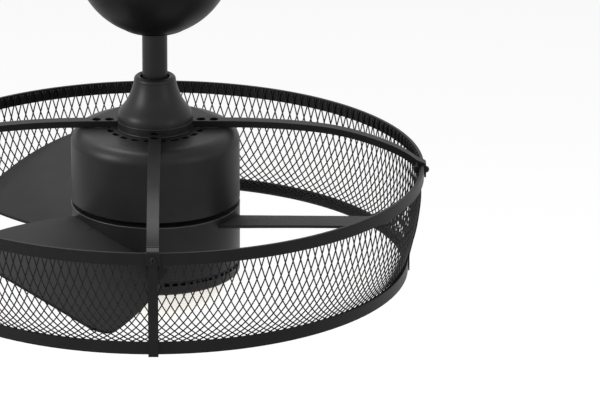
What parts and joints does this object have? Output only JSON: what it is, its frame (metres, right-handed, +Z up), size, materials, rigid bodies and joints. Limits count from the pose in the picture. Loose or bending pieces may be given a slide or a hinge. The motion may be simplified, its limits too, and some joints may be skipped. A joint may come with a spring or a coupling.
{
  "type": "caged ceiling fan",
  "caption": "Black ceiling fan on a short downrod, its wide blades inside a round mesh cage, with a domed light under the motor.",
  "frame": {"origin": "centre of the ceiling bracket's top face, on the fan's axis, in the plane of the ceiling", "axes": "+Z up along the downrod, +X and +Y along two of the cage's arms, the bracket's slots along X"},
  "size_m": [0.581, 0.581, 0.391],
  "materials": {
    "black_metal": "matte black powder coat",
    "blade_plastic": "matte black",
    "black_plastic": "matte",
    "zinc_steel": "zinc plated",
    "bearing_steel": "ground",
    "laminations": "varnished",
    "copper": "enamelled winding",
    "board": "white board",
    "led": "phosphor",
    "opal_glass": "opal"
  },
  "bodies": {
    "ceiling_mount": {"hanger_bracket": "zinc_steel", "canopy": "black_metal", "canopy_cap": "black_metal", "canopy_screws": "zinc_steel", "remote_receiver": "black_plastic"},
    "fan": {"hanger_ball": "black_plastic", "cross_pin": "zinc_steel", "downrod": "black_metal", "rod_coupler": "black_metal", "coupler_pin": "zinc_steel", "pin_clips": "zinc_steel", "rod_set_screws": "zinc_steel", "mounting_collar": "black_metal", "coupler_screws": "zinc_steel", "arm_screws": "zinc_steel", "arm_right": "black_metal", "arm_rear": "black_metal", "arm_left": "black_metal", "arm_front": "black_metal", "rear_gussets": "black_metal", "top_band": "black_metal", "bottom_band": "black_metal", "mesh_panel_1": "black_metal", "mesh_panel_2": "black_metal", "mesh_panel_3": "black_metal", "mesh_panel_4": "black_metal", "strap_right": "black_metal", "strap_rear": "black_metal", "strap_left": "black_metal", "strap_front": "black_metal", "cage_screws": "black_metal", "cage_nuts": "black_metal", "upper_housing": "black_metal", "housing_floor": "black_metal", "driver_board": "board", "motor_shaft": "zinc_steel", "stator_core": "laminations", "stator_coils": "copper", "light_pan": "black_metal", "pan_nut": "zinc_steel", "led_board": "board", "led_chips": "led", "lens": "opal_glass"},
    "rotor": {"hub_shell": "black_metal", "rotor_cover": "black_metal", "upper_bearing": "bearing_steel", "lower_bearing": "bearing_steel", "rotor_yoke": "laminations", "magnets": "laminations", "blade_1": "blade_plastic", "blade_2": "blade_plastic", "blade_3": "blade_plastic", "blade_screws": "zinc_steel"},
    "coupling_cover": {"coupling_cover": "black_metal"}
  },
  "joints": [
    {"name": "hanger_swing", "type": "hinge", "parent": "ceiling_mount", "child": "fan", "pos_m": [0, 0, -0.0485], "axis": [1, 0, 0], "range_deg": [-3, 3]},
    {"name": "rotor_spin", "type": "hinge", "parent": "fan", "child": "rotor", "pos_m": [0, 0, -0.298], "axis": [0, 0, 1], "continuous": true},
    {"name": "cover_lift", "type": "slide", "parent": "fan", "child": "coupling_cover", "axis": [0, 0, 1], "range_m": [0, 0.045]}
  ]
}
